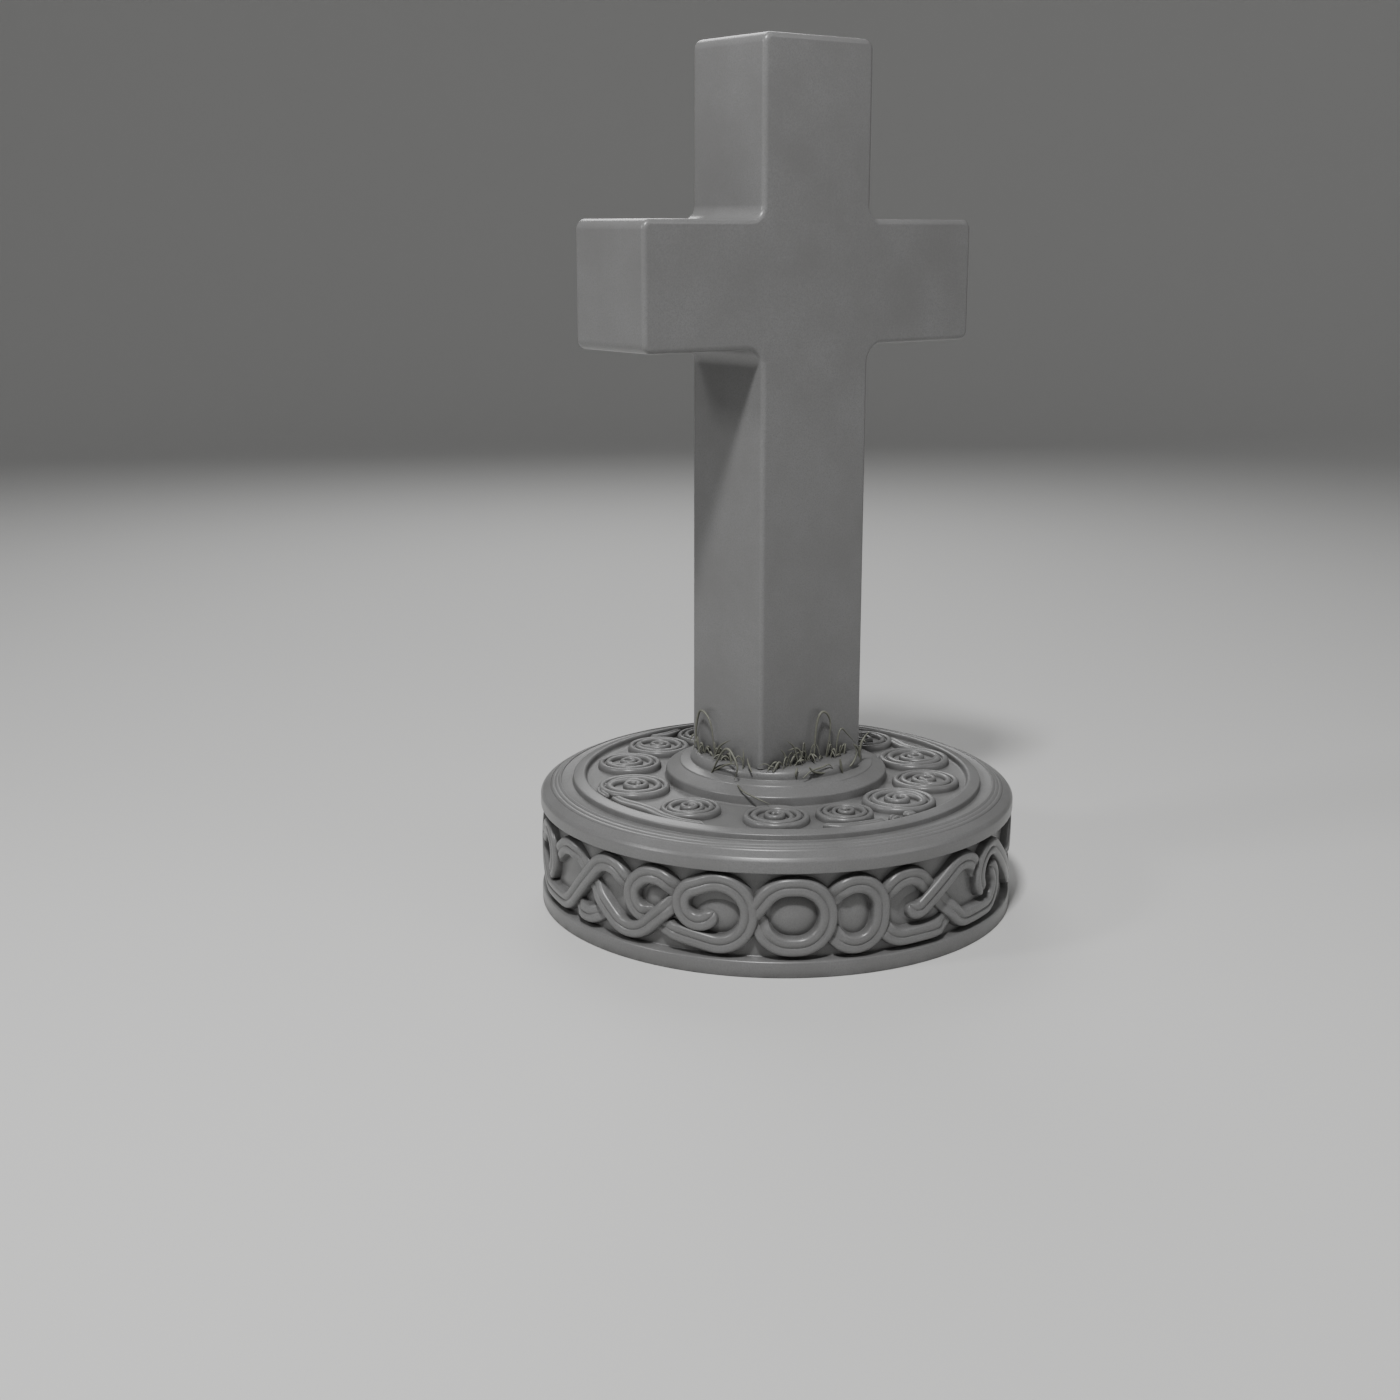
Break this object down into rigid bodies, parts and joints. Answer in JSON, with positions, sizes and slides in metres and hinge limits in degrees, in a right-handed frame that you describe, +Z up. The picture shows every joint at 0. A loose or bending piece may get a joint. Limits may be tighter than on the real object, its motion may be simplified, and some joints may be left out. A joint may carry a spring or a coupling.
{
  "type": "stone cross on a carved round plinth",
  "caption": "Plain tapering stone cross standing on a low round plinth, its side carved with interlace and its stepped top with scrolls.",
  "frame": {"origin": "middle of the plinth's flat underside, on the ground", "axes": "+Z up through the shaft, X along the arms, -Y towards the cross's front face"},
  "size_m": [0.8, 0.8, 1.3919],
  "materials": {
    "plinth_stone": "fine-grained grey stone, carved and honed, dulled by weather in the hollows",
    "cross_stone": "the same grey stone with smooth honed faces and eased edges"
  },
  "bodies": {
    "root": {"plinth": "plinth_stone", "cross": "cross_stone"}
  },
  "joints": []
}
